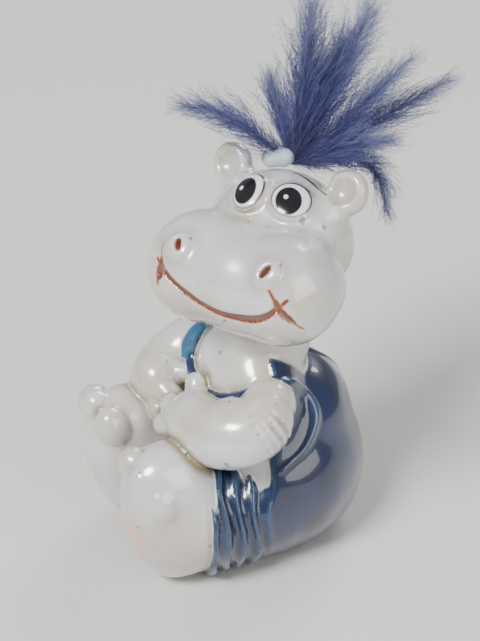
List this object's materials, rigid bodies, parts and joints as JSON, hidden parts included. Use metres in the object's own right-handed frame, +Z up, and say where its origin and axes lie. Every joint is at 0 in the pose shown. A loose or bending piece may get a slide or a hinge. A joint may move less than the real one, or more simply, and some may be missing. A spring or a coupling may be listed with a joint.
{
  "type": "seated hippo figurine",
  "caption": "Small glazed ceramic hippo in dungarees, sitting with folded arms and soles forward, head turned up to one side, with a tuft of marabou plumes on its crown.",
  "frame": {"origin": "the middle of the flat underside that the figure sits on", "axes": "+Z up, -Y the way the belly and the soles of the feet face, +X towards the figure's left hand"},
  "size_m": [0.0369, 0.0602, 0.0876],
  "materials": {
    "pearl_glaze": "very glossy pearl-grey glaze, navy glaze on the dungarees, matte unglazed underside",
    "marabou": "soft dyed marabou down, indigo at the root and hazy grey-blue at the tips",
    "hard_glue": "set craft glue, pale, cloudy and glossy"
  },
  "bodies": {
    "root": {"hippo_figure": "pearl_glaze", "plume_crown": "marabou", "plume_crown_back": "marabou", "plume_between": "marabou", "plume_back_high": "marabou", "plume_back": "marabou", "plume_left": "marabou", "plume_forward": "marabou", "plume_right": "marabou", "plume_nape": "marabou", "glue_drop": "hard_glue"}
  },
  "joints": []
}
